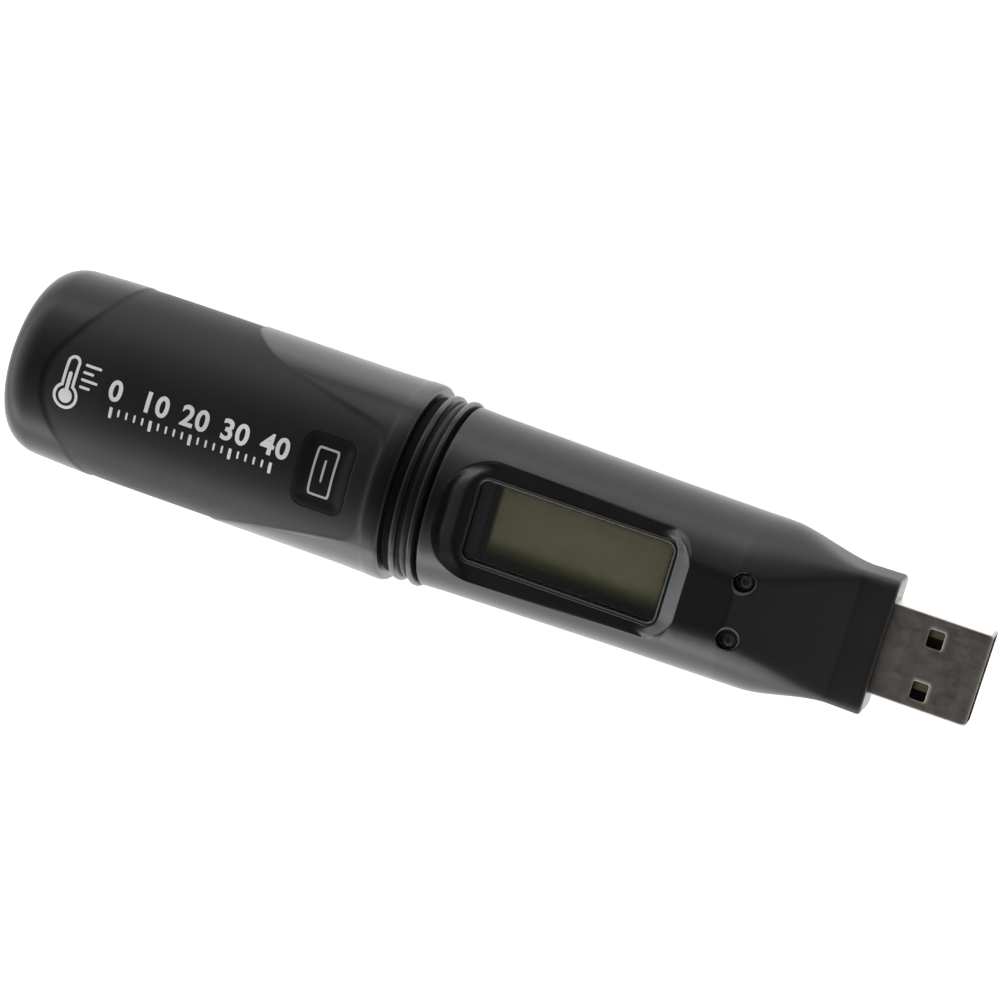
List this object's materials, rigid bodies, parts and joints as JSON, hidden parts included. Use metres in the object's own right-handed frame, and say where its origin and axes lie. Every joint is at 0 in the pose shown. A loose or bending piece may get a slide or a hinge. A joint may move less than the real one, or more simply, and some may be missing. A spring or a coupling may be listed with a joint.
{
  "type": "temperature data logger",
  "caption": "Black stick-shaped temperature data logger with a pull-off battery sleeve, push button, display window, indicator lights and USB-A plug.",
  "frame": {"origin": "middle of the object's box in X and Y, on the flat that it stands on", "axes": "+X along the tube to the plug's tip, +Z out of the display, +Y across the tube"},
  "size_m": [0.13, 0.0262, 0.0259],
  "materials": {
    "sleeve_plastic": "black moulded plastic with a fine satin texture",
    "housing_plastic": "black moulded plastic, satin gloss",
    "button_rubber": "black soft-touch rubber",
    "clear_window": "clear polished plastic window",
    "seal_rubber": "black sealing rubber",
    "display": "olive grey liquid-crystal glass with nothing shown",
    "reflector_foil": "dull silver foil",
    "inner_plastic": "white moulded plastic",
    "strip_rubber": "layered pink and black elastomer",
    "board_laminate": "green solder mask over laminate",
    "chip_resin": "black moulded resin",
    "bright_metal": "bright plated metal",
    "capacitor_ceramic": "tan ceramic",
    "light_resin": "clear resin over a pale chip",
    "light_pipe": "clear moulded plastic with a polished dome",
    "bead_resin": "dark blue epoxy bead",
    "carrier_plastic": "dark grey moulded plastic",
    "battery_metal": "bright drawn metal can",
    "battery_film": "shrunk film wrap",
    "contact_metal": "nickel-plated spring metal",
    "plug_steel": "warm grey brushed steel",
    "plug_insulator": "black moulded plastic",
    "gold_contact": "gold-plated contact"
  },
  "bodies": {
    "core": {"main_housing": "housing_plastic", "window_lens": "clear_window", "window_gasket": "seal_rubber", "display_glass": "display", "display_reflector": "reflector_foil", "display_frame": "inner_plastic", "contact_strip_left": "strip_rubber", "contact_strip_right": "strip_rubber", "main_board": "board_laminate", "microcontroller": "chip_resin", "memory_chip": "chip_resin", "crystal": "bright_metal", "chip_capacitors": "capacitor_ceramic", "light_green": "light_resin", "light_red": "light_resin", "light_pipe_left": "light_pipe", "light_pipe_right": "light_pipe", "switch_body": "chip_resin", "thermistor": "bead_resin", "o_ring_front": "seal_rubber", "o_ring_rear": "seal_rubber", "battery_carrier": "carrier_plastic", "carrier_screws": "bright_metal", "battery_can": "battery_metal", "battery_wrap": "battery_film", "battery_spring": "contact_metal", "negative_strip": "contact_metal", "positive_contact": "contact_metal", "usb_shell": "plug_steel", "usb_insulator": "plug_insulator", "usb_contacts": "gold_contact", "plug_seal": "seal_rubber"},
    "sleeve": {"battery_sleeve": "sleeve_plastic"},
    "button": {"button_pad": "button_rubber"},
    "plunger": {"switch_plunger": "chip_resin"}
  },
  "joints": [
    {"name": "sleeve_slide", "type": "slide", "parent": "core", "child": "sleeve", "axis": [-1, 0, 0], "range_m": [0, 0.07]},
    {"name": "button_press", "type": "slide", "parent": "sleeve", "child": "button", "axis": [0, 0, -1], "range_m": [0, 0.00035], "stiffness_N_per_m": 1000, "springref_m": -0.0005},
    {"name": "switch_press", "type": "slide", "parent": "core", "child": "plunger", "axis": [0, 0, -1], "range_m": [0, 0.00035]}
  ],
  "couplings": [
    {"joint": "switch_press", "follows": "button_press", "ratio": 1}
  ]
}
